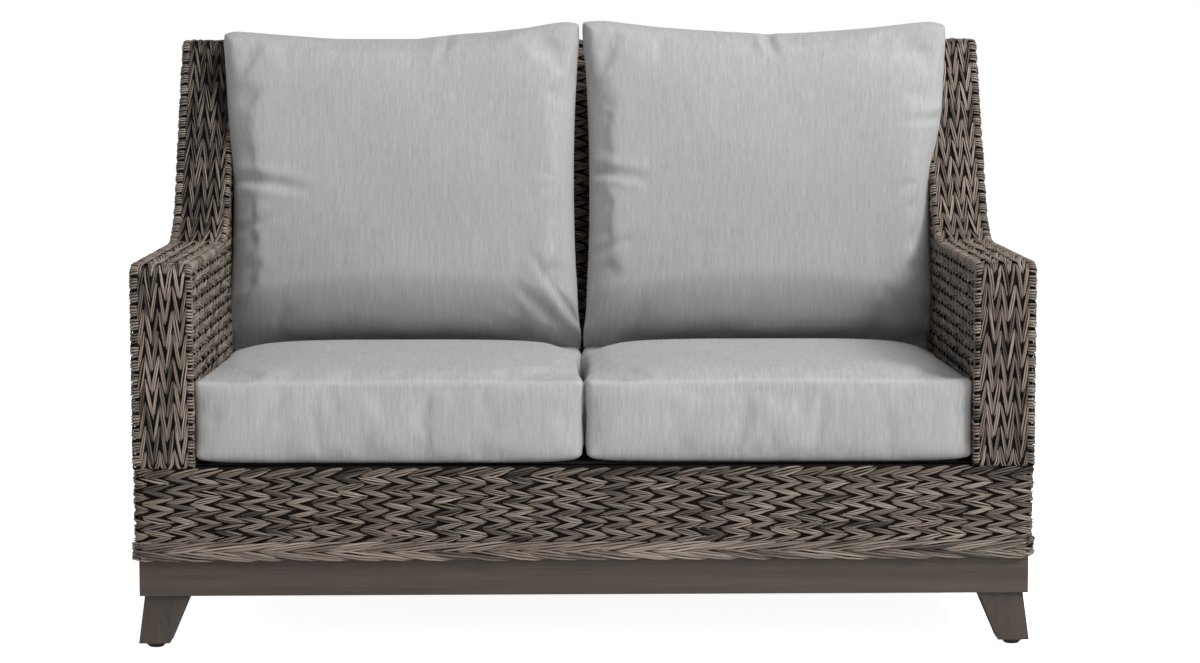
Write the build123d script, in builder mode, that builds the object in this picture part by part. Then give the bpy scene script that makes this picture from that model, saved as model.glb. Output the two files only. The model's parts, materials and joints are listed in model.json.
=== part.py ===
from build123d import *
from math import cos, radians, sin, tan
import os

# Woven patio loveseat. Millimetres, +Z up, the front faces -Y and +X is to the viewer's right.
# The origin is on the floor, under the middle of the loveseat.

os.makedirs("parts", exist_ok=True)

# Overall sizes
overall_width = 1450.0
overall_depth = 900.0
back_height = 972.0
arm_height = 619.0
arm_width = 94.0
front_y = -overall_depth / 2
rear_y = overall_depth / 2

# Base band, legs and glides
glide_height = 9.0
leg_height = 77.0
apron_height = 60.0
apron_section = 25.0
apron_wall = 2.0
apron_inset = 7.0
leg_top_size = 72.0
leg_foot_size = 50.0
leg_top_inset = 7.5
leg_splay = 2.0
glide_top_radius = 17.0
glide_sole_radius = 11.0
glide_rim = 3.0
stem_radius = 4.0
stem_length = 20.0
thread_clearance = 0.05
plate_thickness = 4.0
bolt_radius = 4.0
bolt_length = 28.0
bolt_head_radius = 6.5
bolt_head_height = 5.3
bolt_spacing = 32.0
bolt_hole_clearance = 0.5

# Woven skins
skin = 5.0
braid_height = 16.0
braid_proud = 3.0
rail_height = 148.0
lip_depth = 36.0
course_pitch = 85.3
course_gap = 10.3
course_proud = 3.0
course_margin = 14.0

# Side profile of the arm and the wing
wing_run_start = 553.0
wing_top_run = 745.0
wing_curve_radius = 130.0
arm_nose_radius = 22.0
wing_top_radius = 18.0
foot_corner_radius = 0.0
rear_lean_angle = 6.0

# Seat platform
tube = 25.0
tube_wall = 2.0
hoop_tube = 20.0
hoop_wall = 1.5
strap_thickness = 2.0
strap_width = 60.0
strap_pitch = 112.0
deck_pitch_angle = 1.0
deck_start = 12.0
deck_rear_gap = 6.05
deck_height = 299.5
crossbar_spacing = 420.0

# Back
recline_angle = 11.0
back_at_seat = 700.0
back_at_seat_height = 433.0
upright_spacing = 620.0

# Cushions
cover_thickness = 1.5
core_gap = 0.3
rest_gap = 0.3
side_gap = 0.6
middle_gap = 1.4
seat_thickness = 128.0
seat_crown = 17.0
seat_draw_in = 6.0
seat_corner_radius = 26.0
seat_edge_round = 15.0
pillow_height = 590.0
pillow_thickness = 176.0
pillow_draw_in = 13.0
pillow_corner_radius = 30.0
pillow_sink = 21.004
zip_length = 440.0
zip_width = 22.0
zip_thickness = 1.2

# One overrun for every cut
overrun = 5.0

# Values worked out from the sizes above
half_width = overall_width / 2
apron_bottom = glide_height + leg_height
apron_top = apron_bottom + apron_height
rail_top = apron_top + rail_height
apron_half = half_width - apron_inset
apron_front_y = front_y + apron_inset
skin_front_y = front_y + braid_proud
skin_outer_x = half_width - braid_proud
rear_lean = radians(rear_lean_angle)
rear_corner_y = rear_y + wing_top_radius * (tan(rear_lean) + 1 / cos(rear_lean) - 1)
skin_rear_y = rear_corner_y - (back_height - apron_top) * tan(rear_lean)
apron_rear_y = skin_rear_y + braid_proud - apron_inset
inner_x = half_width - arm_width
deck_pitch = radians(deck_pitch_angle)
recline = radians(recline_angle)

# The seat cushions end ahead of the back panel. The back cushions sink below the seat cushions' top.
deck_end = back_at_seat - (back_at_seat_height - deck_height) * tan(recline) - deck_rear_gap
deck_length = deck_end - deck_start
pillow_foot_height = deck_height + seat_thickness - pillow_sink
pillow_drop = (back_at_seat_height - pillow_foot_height) / cos(recline)

# The seat platform's plane: x to the right, y rearwards and down, z square to the platform
deck_plane = Plane(
    origin=(0, front_y + deck_start, deck_height),
    x_dir=(1, 0, 0),
    z_dir=(0, sin(deck_pitch), cos(deck_pitch)),
)

# The back panel's plane: x to the right, y up along the recline, z forwards
back_plane = Plane(
    origin=(0, front_y + back_at_seat, back_at_seat_height),
    x_dir=(1, 0, 0),
    z_dir=(0, -cos(recline), sin(recline)),
)


def finish(piece, name):
    """Names a finished piece and writes it to its own file."""
    piece.part.label = name
    export_step(piece.part, f"parts/{name}.step")


def side_name(side):
    return "left" if side < 0 else "right"


# Base band: four mitred hollow sections

def apron_length(name, start_corner, end_corner, start_inner, end_inner):
    """A mitred hollow section between two outer corners and the two inner corners behind them."""
    outer_start = Vector(*start_corner)
    outer_end = Vector(*end_corner)
    inner_start = Vector(*start_inner)
    inner_end = Vector(*end_inner)
    wall_share = apron_wall / apron_section
    with BuildPart() as piece:
        with BuildSketch(Plane.XY.offset(apron_bottom)):
            with BuildLine():
                Polyline(outer_start, outer_end, inner_end, inner_start, close=True)
            make_face()
        extrude(amount=apron_height)
        with BuildSketch(Plane.XY.offset(apron_bottom + apron_wall)):
            with BuildLine():
                Polyline(
                    outer_start + (inner_start - outer_start) * wall_share,
                    outer_end + (inner_end - outer_end) * wall_share,
                    inner_end + (outer_end - inner_end) * wall_share,
                    inner_start + (outer_start - inner_start) * wall_share,
                    close=True,
                )
            make_face()
        extrude(amount=apron_height - 2 * apron_wall, mode=Mode.SUBTRACT)
    finish(piece, name)


outer_corners = {
    "front_left": (-apron_half, apron_front_y),
    "front_right": (apron_half, apron_front_y),
    "back_right": (apron_half, apron_rear_y),
    "back_left": (-apron_half, apron_rear_y),
}
inner_corners = {
    "front_left": (-apron_half + apron_section, apron_front_y + apron_section),
    "front_right": (apron_half - apron_section, apron_front_y + apron_section),
    "back_right": (apron_half - apron_section, apron_rear_y - apron_section),
    "back_left": (-apron_half + apron_section, apron_rear_y - apron_section),
}
apron_runs = {
    "apron_front": ("front_left", "front_right"),
    "apron_right": ("front_right", "back_right"),
    "apron_back": ("back_right", "back_left"),
    "apron_left": ("back_left", "front_left"),
}
for apron_name, (start, end) in apron_runs.items():
    apron_length(
        apron_name, outer_corners[start], outer_corners[end], inner_corners[start], inner_corners[end]
    )

# Legs, glides, corner plates and bolts

leg_top_centre_x = apron_half - leg_top_inset - leg_top_size / 2
leg_foot_centre_x = apron_half + leg_splay - leg_foot_size / 2
leg_top_front_y = apron_front_y + leg_top_inset + leg_top_size / 2
leg_foot_front_y = apron_front_y - leg_splay + leg_foot_size / 2
leg_top_rear_y = apron_rear_y - leg_top_inset - leg_top_size / 2
leg_foot_rear_y = apron_rear_y + leg_splay - leg_foot_size / 2
plate_inner_reach = leg_top_inset + leg_top_size - apron_section
plate_centre = apron_half - apron_section - plate_inner_reach / 2

plate_places = []
bolt_places = []
for side in (-1, 1):
    for end_name, top_y, foot_y, end_sign in (
        ("front", leg_top_front_y, leg_foot_front_y, -1),
        ("back", leg_top_rear_y, leg_foot_rear_y, 1),
    ):
        corner = f"{end_name}_{side_name(side)}"
        corner_y = inner_corners[corner][1]
        plate_x = side * plate_centre
        plate_y = corner_y - end_sign * plate_inner_reach / 2
        plate_places.append((plate_x, plate_y))
        bolts = [
            (plate_x + side * bolt_spacing / 4, plate_y + end_sign * bolt_spacing / 4),
            (plate_x - side * bolt_spacing / 4, plate_y - end_sign * bolt_spacing / 4),
        ]
        bolt_places += bolts

        with BuildPart() as leg:
            with BuildSketch(Plane.XY.offset(glide_height)):
                with Locations((side * leg_foot_centre_x, foot_y)):
                    Rectangle(leg_foot_size, leg_foot_size)
            with BuildSketch(Plane.XY.offset(apron_bottom)):
                with Locations((side * leg_top_centre_x, top_y)):
                    Rectangle(leg_top_size, leg_top_size)
            loft()
            with BuildSketch(Plane.XY.offset(glide_height)):
                with Locations((side * leg_foot_centre_x, foot_y)):
                    Circle(stem_radius + thread_clearance)
            extrude(amount=stem_length + thread_clearance, mode=Mode.SUBTRACT)
            with BuildSketch(Plane.XY.offset(apron_bottom)):
                with Locations(*bolts):
                    Circle(bolt_radius + thread_clearance)
            extrude(amount=plate_thickness - bolt_length - thread_clearance, mode=Mode.SUBTRACT)
        finish(leg, f"leg_{corner}")

        with BuildPart() as glide:
            with BuildSketch(Plane.XY):
                with Locations((side * leg_foot_centre_x, foot_y)):
                    Circle(glide_sole_radius)
            with BuildSketch(Plane.XY.offset(glide_height - glide_rim)):
                with Locations((side * leg_foot_centre_x, foot_y)):
                    Circle(glide_top_radius)
            loft()
            with BuildSketch(Plane.XY.offset(glide_height - glide_rim)):
                with Locations((side * leg_foot_centre_x, foot_y)):
                    Circle(glide_top_radius)
            extrude(amount=glide_rim)
            with BuildSketch(Plane.XY.offset(glide_height)):
                with Locations((side * leg_foot_centre_x, foot_y)):
                    Circle(stem_radius)
            extrude(amount=stem_length)
        finish(glide, f"glide_{corner}")

with BuildPart() as corner_plates:
    with BuildSketch(Plane.XY.offset(apron_bottom)):
        with Locations(*plate_places):
            Rectangle(plate_inner_reach, plate_inner_reach)
        with Locations(*bolt_places):
            Circle(bolt_radius + bolt_hole_clearance, mode=Mode.SUBTRACT)
    extrude(amount=plate_thickness)
finish(corner_plates, "corner_plates")

with BuildPart() as leg_bolts:
    with BuildSketch(Plane.XY.offset(apron_bottom + plate_thickness)):
        with Locations(*bolt_places):
            RegularPolygon(bolt_head_radius, side_count=6)
    extrude(amount=bolt_head_height)
    with BuildSketch(Plane.XY.offset(apron_bottom + plate_thickness)):
        with Locations(*bolt_places):
            Circle(bolt_radius)
    extrude(amount=-bolt_length)
finish(leg_bolts, "leg_bolts")

# Side profile: up the front, along the arm, up the wing, over its top and down the back.
# Read on the YZ plane, so the first number is the depth and the second the height.

def profile_points(foot):
    """Corners of the side profile, standing on the foot height."""
    return [
        (skin_front_y, foot),
        (skin_front_y, arm_height),
        (front_y + wing_run_start, arm_height),
        (front_y + wing_top_run, back_height),
        (rear_corner_y, back_height),
        (rear_face_y(foot), foot),
    ]


def rear_face_y(height):
    """Depth of the outer back's face at a height."""
    return rear_corner_y - (back_height - height) * tan(rear_lean)


def panel_face_y(height):
    """Depth of the inner back panel's front face at a height."""
    return front_y + back_at_seat + (height - back_at_seat_height) * tan(recline)


def profile_face(foot):
    """The side profile as a face on the open sketch."""
    with BuildLine() as outline:
        FilletPolyline(*profile_points(foot), radius=profile_radii, close=True)
    make_face(outline.edges())


def cut_away(points):
    """Takes a polygon out of the open sketch."""
    with BuildLine() as outline:
        Polyline(*points, close=True)
    make_face(outline.edges(), mode=Mode.SUBTRACT)


def profile_band(start_x, end_x, foot, outer_inset, inner_inset, cutter, wall=0):
    """The band between two insets of the side profile, hollow where it has a wall."""
    with BuildPart() as band:
        with BuildSketch(Plane.YZ.offset(start_x)):
            profile_face(foot)
            if outer_inset:
                offset(amount=-outer_inset)
            offset(amount=outer_inset - inner_inset, mode=Mode.SUBTRACT)
            cut_away(cutter)
        extrude(amount=end_x - start_x)
        if wall:
            with BuildSketch(Plane.YZ.offset(start_x + wall)):
                profile_face(foot)
                offset(amount=-outer_inset - wall)
                offset(amount=outer_inset - inner_inset + 2 * wall, mode=Mode.SUBTRACT)
                cut_away(cutter)
            extrude(amount=end_x - start_x - 2 * wall, mode=Mode.SUBTRACT)
    return band


profile_radii = [
    foot_corner_radius,
    arm_nose_radius,
    wing_curve_radius,
    wing_top_radius,
    wing_top_radius,
    foot_corner_radius,
]
seam_top_y = rear_y - wing_top_radius
seam_foot_y = front_y + wing_top_run

# The bands end on one seam line, from the rear of the wing's top down through the hollow side

def seam_y(height):
    """Depth of the seam line at a height."""
    return seam_foot_y + (height - rail_top) * (seam_top_y - seam_foot_y) / (back_height - rail_top)


def rear_band_y(height, depth):
    """Depth of the inner edge of a band of some thickness behind the rear face."""
    return rear_face_y(height) - depth / cos(rear_lean)


def front_cutter(start_y):
    """Clears the foot of a band behind start_y, and all of it behind the seam line."""
    return [
        (start_y, apron_top - overrun),
        (rear_y + 2 * overrun, apron_top - overrun),
        (rear_y + 2 * overrun, back_height + overrun),
        (seam_y(back_height + overrun), back_height + overrun),
        (seam_foot_y, rail_top),
        (start_y, rail_top),
    ]


def rear_cutter(depth):
    """Clears a band in front of the seam line and leaves its rear leg, of this depth."""
    return [
        (front_y - overrun, apron_top - skin - overrun),
        (rear_band_y(apron_top - skin - overrun, depth), apron_top - skin - overrun),
        (rear_band_y(apron_top + depth, depth), apron_top + depth),
        (seam_foot_y, rail_top),
        (seam_y(back_height + overrun), back_height + overrun),
        (front_y - overrun, back_height + overrun),
    ]


deck_tube_top = deck_height - 2 * strap_thickness
inner_skin_foot = deck_tube_top - tube - deck_length * sin(deck_pitch)
inner_skin_shoulder = back_height - 2 * wing_top_radius

# Raised courses of weave along the sides and the rear, with a narrow gap between them

course_start = apron_top + braid_height + course_gap


def course_feet(limit):
    """Heights of the courses' lower edges, for courses that end below the limit."""
    count = int((limit + course_gap - course_start) / course_pitch)
    return [course_start + number * course_pitch for number in range(count)]


course_rear_reach = course_proud / cos(rear_lean)
rear_course_limit = back_height - (rear_corner_y + course_rear_reach - rear_y) / tan(rear_lean)
side_gap_middles = [
    foot + course_pitch - course_gap / 2 for foot in course_feet(back_height)
]
below_courses = course_start - apron_top

for side in (-1, 1):
    side_label = side_name(side)

    with BuildPart() as weave_side:
        with BuildSketch(Plane.YZ.offset(side * (skin_outer_x - skin / 2) - skin / 2)):
            profile_face(apron_top)
        extrude(amount=skin)
        course_start_x = side * (skin_outer_x + course_proud / 2) - course_proud / 2
        with BuildSketch(Plane.YZ.offset(course_start_x)):
            profile_face(apron_top)
            offset(amount=-course_margin)
            with Locations((0, apron_top + below_courses / 2)):
                Rectangle(2 * overall_depth, below_courses, mode=Mode.SUBTRACT)
            for gap_middle in side_gap_middles:
                with Locations((0, gap_middle)):
                    Rectangle(2 * overall_depth, course_gap, mode=Mode.SUBTRACT)
        extrude(amount=course_proud)
    finish(weave_side, f"weave_side_{side_label}")

    with BuildPart() as weave_arm_inner:
        with BuildSketch(Plane.YZ.offset(side * (inner_x + skin / 2) - skin / 2)):
            profile_face(apron_top)
            cut_away(
                [
                    (front_y - overrun, apron_top - overrun),
                    (rear_y + overrun, apron_top - overrun),
                    (rear_y + overrun, inner_skin_foot),
                    (skin_front_y + skin, inner_skin_foot),
                    (skin_front_y + skin, rail_top),
                    (front_y - overrun, rail_top),
                ]
            )
            cut_away(
                [
                    (rear_band_y(apron_top - overrun, skin), apron_top - overrun),
                    (rear_y + 2 * overrun, apron_top - overrun),
                    (rear_y + 2 * overrun, back_height + overrun),
                    (seam_y(back_height + overrun), back_height + overrun),
                    (seam_y(back_height - wing_top_radius), back_height - wing_top_radius),
                    (rear_band_y(inner_skin_shoulder, skin), inner_skin_shoulder),
                ]
            )
        extrude(amount=skin)
    finish(weave_arm_inner, f"weave_arm_inner_{side_label}")

    cap_centre = side * (inner_x + skin_outer_x) / 2
    cap_half = (skin_outer_x - inner_x) / 2 - skin
    arm_cap = profile_band(
        cap_centre - cap_half,
        cap_centre + cap_half,
        apron_top,
        0,
        skin,
        front_cutter(front_y - overrun),
    )
    finish(arm_cap, f"arm_cap_{side_label}")

    for hoop_name, hoop_centre in (
        ("outer", side * (skin_outer_x - skin - hoop_tube / 2)),
        ("inner", side * (inner_x + skin + hoop_tube / 2)),
    ):
        hoop = profile_band(
            hoop_centre - hoop_tube / 2,
            hoop_centre + hoop_tube / 2,
            apron_top - skin,
            skin,
            skin + hoop_tube,
            front_cutter(skin_front_y + skin + hoop_tube),
            hoop_wall,
        )
        finish(hoop, f"hoop_{hoop_name}_{side_label}")

    post_centre = side * (skin_outer_x - skin - hoop_tube / 2)
    back_post = profile_band(
        post_centre - hoop_tube / 2,
        post_centre + hoop_tube / 2,
        apron_top - skin,
        skin,
        skin + hoop_tube,
        rear_cutter(skin + hoop_tube),
        hoop_wall,
    )
    finish(back_post, f"back_post_{side_label}")

# Front rail's skin and the lip behind its top edge

with BuildPart() as weave_front:
    with BuildSketch(Plane.XZ.offset(-skin_front_y)):
        with Locations((0, (apron_top + rail_top) / 2)):
            Rectangle(2 * (skin_outer_x - skin), rail_height)
    extrude(amount=-skin)
finish(weave_front, "weave_front")

lip_rear_y = skin_front_y + skin + lip_depth
with BuildPart() as rail_lip:
    with BuildSketch(Plane.XY.offset(rail_top)):
        with Locations((0, lip_rear_y - lip_depth / 2)):
            Rectangle(2 * inner_x, lip_depth)
    extrude(amount=-skin)
finish(rail_lip, "rail_lip")

# Back skins

rear_skin = profile_band(
    skin - skin_outer_x, skin_outer_x - skin, apron_top, 0, skin, rear_cutter(skin)
)
with BuildPart() as weave_back_outer:
    add(rear_skin.part)
    with BuildSketch(Plane.YZ.offset(course_margin - skin_outer_x)):
        for foot in course_feet(rear_course_limit):
            head = foot + course_pitch - course_gap
            with BuildLine():
                Polyline(
                    (rear_face_y(foot) - skin / 2, foot),
                    (rear_face_y(foot) + course_rear_reach, foot),
                    (rear_face_y(head) + course_rear_reach, head),
                    (rear_face_y(head) - skin / 2, head),
                    close=True,
                )
            make_face()
    extrude(amount=2 * (skin_outer_x - course_margin))
finish(weave_back_outer, "weave_back_outer")

panel_top = back_height - skin
with BuildPart() as weave_back_inner:
    with BuildSketch(Plane.YZ.offset(-inner_x)):
        with BuildLine():
            Polyline(
                (panel_face_y(inner_skin_foot), inner_skin_foot),
                (panel_face_y(inner_skin_foot) + skin, inner_skin_foot),
                (panel_face_y(panel_top) + skin, panel_top),
                (panel_face_y(panel_top), panel_top),
                close=True,
            )
        make_face()
    extrude(amount=2 * inner_x)
finish(weave_back_inner, "weave_back_inner")

with BuildPart() as weave_back_top:
    with BuildSketch(Plane.YZ.offset(-inner_x)):
        with BuildLine():
            Polyline(
                (panel_face_y(panel_top), panel_top),
                (seam_y(panel_top), panel_top),
                (seam_y(back_height), back_height),
                (panel_face_y(back_height), back_height),
                close=True,
            )
        make_face()
    extrude(amount=2 * inner_x)
finish(weave_back_top, "weave_back_top")

# Plaited border along the foot of the weave

border_runs = {
    "front": (0, front_y + braid_proud / 2, overall_width, braid_proud),
    "back": (0, skin_rear_y + braid_proud / 2, overall_width, braid_proud),
}
border_side_length = skin_rear_y - skin_front_y
for side in (-1, 1):
    border_runs[side_name(side)] = (
        side * (skin_outer_x + braid_proud / 2),
        skin_front_y + border_side_length / 2,
        braid_proud,
        border_side_length,
    )
for border_name, (border_x, border_y, border_width, border_depth) in border_runs.items():
    with BuildPart() as braid:
        with BuildSketch(Plane.XY.offset(apron_top)):
            with Locations((border_x, border_y)):
                Rectangle(border_width, border_depth)
        extrude(amount=braid_height)
        if border_name == "back":
            with BuildSketch(Plane.YZ.offset(-half_width)):
                with BuildLine():
                    Polyline(
                        (skin_rear_y, apron_top),
                        (rear_face_y(apron_top + braid_height), apron_top + braid_height),
                        (skin_rear_y, apron_top + braid_height),
                        close=True,
                    )
                make_face()
            extrude(amount=overall_width, mode=Mode.SUBTRACT)
    finish(braid, f"braid_{border_name}")

# Back frame behind the inner panel

for side in (-1, 1):
    with BuildPart() as upright:
        with BuildSketch(Plane.YZ.offset(side * upright_spacing / 2 - hoop_tube / 2)):
            with BuildLine():
                Polyline(
                    (panel_face_y(inner_skin_foot) + skin, inner_skin_foot),
                    (panel_face_y(inner_skin_foot) + skin + hoop_tube, inner_skin_foot),
                    (panel_face_y(panel_top) + skin + hoop_tube, panel_top),
                    (panel_face_y(panel_top) + skin, panel_top),
                    close=True,
                )
            make_face()
        extrude(amount=hoop_tube)
    finish(upright, f"back_upright_{side_name(side)}")

for rail_name, rail_z in (("top", panel_top), ("bottom", inner_skin_foot + 2 * hoop_tube)):
    rail_foot = rail_z - hoop_tube
    rail_start = skin + hoop_tube
    with BuildPart() as back_rail:
        with BuildSketch(Plane.YZ.offset(-inner_x)):
            with BuildLine():
                Polyline(
                    (panel_face_y(rail_foot) + rail_start, rail_foot),
                    (panel_face_y(rail_foot) + rail_start + hoop_tube, rail_foot),
                    (panel_face_y(rail_z) + rail_start + hoop_tube, rail_z),
                    (panel_face_y(rail_z) + rail_start, rail_z),
                    close=True,
                )
            make_face()
            offset(amount=-hoop_wall, mode=Mode.SUBTRACT)
        extrude(amount=2 * inner_x)
    finish(back_rail, f"back_rail_{rail_name}")

# Seat frame and webbing, square to the platform's plane

front_rail_start = lip_rear_y - front_y - deck_start + tube * tan(deck_pitch)
rear_rail_end = panel_face_y(inner_skin_foot) - front_y - deck_start - rest_gap


def seat_bar(name, centre_u, centre_v, across, along, top, hollow_across):
    """A square tube lying under the platform, hollow across or along the seat."""
    with BuildPart() as bar:
        with BuildSketch(deck_plane.offset(top)):
            with Locations((centre_u, centre_v)):
                Rectangle(across, along)
        extrude(amount=-tube)
        with BuildSketch(deck_plane.offset(top - tube_wall)):
            with Locations((centre_u, centre_v)):
                if hollow_across:
                    Rectangle(across + 2 * overrun, along - 2 * tube_wall)
                else:
                    Rectangle(across - 2 * tube_wall, along + 2 * overrun)
        extrude(amount=2 * tube_wall - tube, mode=Mode.SUBTRACT)
    finish(bar, name)


rail_span = 2 * (inner_x - tube)
seat_bar(
    "seat_rail_front", 0, front_rail_start + tube / 2, rail_span, tube, -strap_thickness, True
)
seat_bar("seat_rail_back", 0, rear_rail_end - tube / 2, rail_span, tube, -strap_thickness, True)
side_rail_length = rear_rail_end - front_rail_start
side_rail_centre = (rear_rail_end + front_rail_start) / 2
for side in (-1, 1):
    seat_bar(
        f"seat_rail_{side_name(side)}",
        side * (inner_x - tube / 2),
        side_rail_centre,
        tube,
        side_rail_length,
        -2 * strap_thickness,
        False,
    )
    seat_bar(
        f"seat_crossbar_{side_name(side)}",
        side * crossbar_spacing / 2,
        side_rail_centre,
        tube,
        side_rail_length - 2 * tube,
        -2 * strap_thickness,
        False,
    )

strap_count_long = int((rail_span - strap_width) // strap_pitch) + 1
strap_count_cross = int((side_rail_length - 2 * tube - strap_width) // strap_pitch) + 1
with BuildPart() as straps_long:
    with BuildSketch(deck_plane):
        with Locations((0, side_rail_centre)):
            with GridLocations(strap_pitch, 0, strap_count_long, 1):
                Rectangle(strap_width, side_rail_length)
    extrude(amount=-strap_thickness)
finish(straps_long, "straps_long")

with BuildPart() as straps_cross:
    with BuildSketch(deck_plane.offset(-strap_thickness)):
        with Locations((0, side_rail_centre)):
            with GridLocations(0, strap_pitch, 1, strap_count_cross):
                Rectangle(2 * inner_x, strap_width)
    extrude(amount=-strap_thickness)
finish(straps_cross, "straps_cross")

# Cushions. Each is lofted through outlines whose sides are drawn in between the corners.

cushion_width = inner_x - side_gap - middle_gap / 2
corner_grow_share = 0.28
draw_fade_share = 1.2
diagonal_share = 1 - cos(radians(45))


def cushion_outline(half_width_here, half_length, corner, draw):
    """Four corner arcs joined by four side arcs that pass the draw distance inside the corners."""
    wide = half_width_here
    long = half_length
    wide_flat = wide - corner
    long_flat = long - corner
    wide_bend = wide - corner * diagonal_share
    long_bend = long - corner * diagonal_share
    with BuildLine() as outline:
        ThreePointArc((-wide_flat, -long), (0, draw - long), (wide_flat, -long))
        ThreePointArc((wide_flat, -long), (wide_bend, -long_bend), (wide, -long_flat))
        ThreePointArc((wide, -long_flat), (wide - draw, 0), (wide, long_flat))
        ThreePointArc((wide, long_flat), (wide_bend, long_bend), (wide_flat, long))
        ThreePointArc((wide_flat, long), (0, long - draw), (-wide_flat, long))
        ThreePointArc((-wide_flat, long), (-wide_bend, long_bend), (-wide, long_flat))
        ThreePointArc((-wide, long_flat), (draw - wide, 0), (-wide, -long_flat))
        ThreePointArc((-wide, -long_flat), (-wide_bend, -long_bend), (-wide_flat, -long))
    make_face(outline.edges())


def cushion_form(plane, levels, width, length, corner, draw_in, shrink, mode=Mode.ADD):
    """Lofts the levels, each a height and an inset, drawn back by the shrink on every face."""
    foot = levels[0][0]
    top = levels[-1][0]
    squeeze = (top - foot - 2 * shrink) / (top - foot)
    deepest = max(inset for height, inset in levels)
    sections = []
    for height, inset in levels:
        level = foot + shrink + (height - foot) * squeeze
        fade = 1 - draw_fade_share * inset / deepest
        with BuildSketch(plane.offset(level)) as section:
            cushion_outline(
                width / 2 - inset - shrink,
                length / 2 - inset - shrink,
                corner + corner_grow_share * inset,
                draw_in * fade,
            )
        sections.append(section.sketch)
    loft(sections, ruled=True, mode=mode)


# A seat cushion is flat below, rounded along its edges and crowned on top

edge_shares = [(0, 1), (0.25, 0.38), (1, 0.02)]
crown_shares = [0.2, 0.42, 0.66]
seat_short_half = min(cushion_width, deck_length) / 2
seat_levels = [(seat_edge_round * up, seat_edge_round * inset) for up, inset in edge_shares]
seat_levels += [
    (seat_thickness - seat_edge_round * up, seat_edge_round * inset)
    for up, inset in reversed(edge_shares[1:])
]
seat_levels += [
    (
        seat_thickness + seat_crown * (1 - (1 - share) ** 2),
        seat_short_half * share,
    )
    for share in crown_shares
]

# A back cushion swells both ways from the seam round its middle

swell_angles = [0, 14, 30, 48, 68, 90]
face_inset_share = 0.6
pillow_short_half = min(cushion_width, pillow_height) / 2
pillow_half = pillow_thickness / 2
swell = [
    (
        pillow_half * sin(radians(angle)),
        pillow_short_half * face_inset_share * (1 - cos(radians(angle))),
    )
    for angle in swell_angles
]
pillow_levels = [(-height, inset) for height, inset in reversed(swell[1:])] + swell


def cushion_set(prefix, side, plane, levels, length, corner, draw_in, zip_plane):
    """A cover, the core that fills it and the zip along the seam or the rear border."""
    form = (plane, levels, cushion_width, length, corner, draw_in)

    with BuildPart() as cover:
        cushion_form(*form, 0)
        cushion_form(*form, cover_thickness, Mode.SUBTRACT)
    finish(cover, f"{prefix}_cover_{side_name(side)}")

    with BuildPart() as core:
        cushion_form(*form, cover_thickness + core_gap)
    finish(core, f"{prefix}_core_{side_name(side)}")

    with BuildPart() as zip_strip:
        cushion_form(*form, -zip_thickness)
        cushion_form(*form, 0, Mode.SUBTRACT)
        with BuildSketch(zip_plane):
            Rectangle(zip_length, zip_width)
        extrude(amount=length / 2, both=True, mode=Mode.INTERSECT)
    finish(zip_strip, f"{prefix}_zip_{side_name(side)}")


for side in (-1, 1):
    centre_u = side * (cushion_width + middle_gap) / 2
    seat_plane = deck_plane.offset(rest_gap)
    seat_plane.origin += deck_plane.x_dir * centre_u + deck_plane.y_dir * deck_length / 2
    seat_back_middle = deck_plane.y_dir * deck_length / 2 + deck_plane.z_dir * seat_thickness / 2
    seat_zip_plane = Plane(
        origin=seat_plane.origin + seat_back_middle,
        x_dir=(1, 0, 0),
        z_dir=deck_plane.y_dir,
    )
    cushion_set(
        "seat",
        side,
        seat_plane,
        seat_levels,
        deck_length,
        seat_corner_radius,
        seat_draw_in,
        seat_zip_plane,
    )

    pillow_plane = back_plane.offset(pillow_half + rest_gap)
    pillow_plane.origin += (
        back_plane.x_dir * centre_u + back_plane.y_dir * (pillow_height / 2 - pillow_drop)
    )
    pillow_zip_plane = Plane(
        origin=pillow_plane.origin - back_plane.y_dir * pillow_height / 2,
        x_dir=(1, 0, 0),
        z_dir=-back_plane.y_dir,
    )
    cushion_set(
        "back",
        side,
        pillow_plane,
        pillow_levels,
        pillow_height,
        pillow_corner_radius,
        pillow_draw_in,
        pillow_zip_plane,
    )
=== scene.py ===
import json
import math

import bmesh
import bpy
import numpy as np
from mathutils import Matrix, Vector


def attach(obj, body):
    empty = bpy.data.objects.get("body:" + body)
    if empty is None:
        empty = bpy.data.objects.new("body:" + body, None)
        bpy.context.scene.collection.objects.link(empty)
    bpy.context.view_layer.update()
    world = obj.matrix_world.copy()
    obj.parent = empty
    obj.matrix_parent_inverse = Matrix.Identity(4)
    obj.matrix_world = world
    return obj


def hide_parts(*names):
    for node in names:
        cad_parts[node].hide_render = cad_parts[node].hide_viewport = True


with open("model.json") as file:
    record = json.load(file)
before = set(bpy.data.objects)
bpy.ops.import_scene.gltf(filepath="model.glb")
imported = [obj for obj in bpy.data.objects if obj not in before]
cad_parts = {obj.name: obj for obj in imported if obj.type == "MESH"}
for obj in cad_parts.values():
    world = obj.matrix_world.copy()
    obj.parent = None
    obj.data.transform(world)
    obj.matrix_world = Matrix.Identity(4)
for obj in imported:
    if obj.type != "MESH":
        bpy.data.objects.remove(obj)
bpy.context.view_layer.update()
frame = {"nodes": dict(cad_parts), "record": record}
nodes = frame["nodes"]
random = np.random.default_rng(11)
print("stage: frame loaded")

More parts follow.
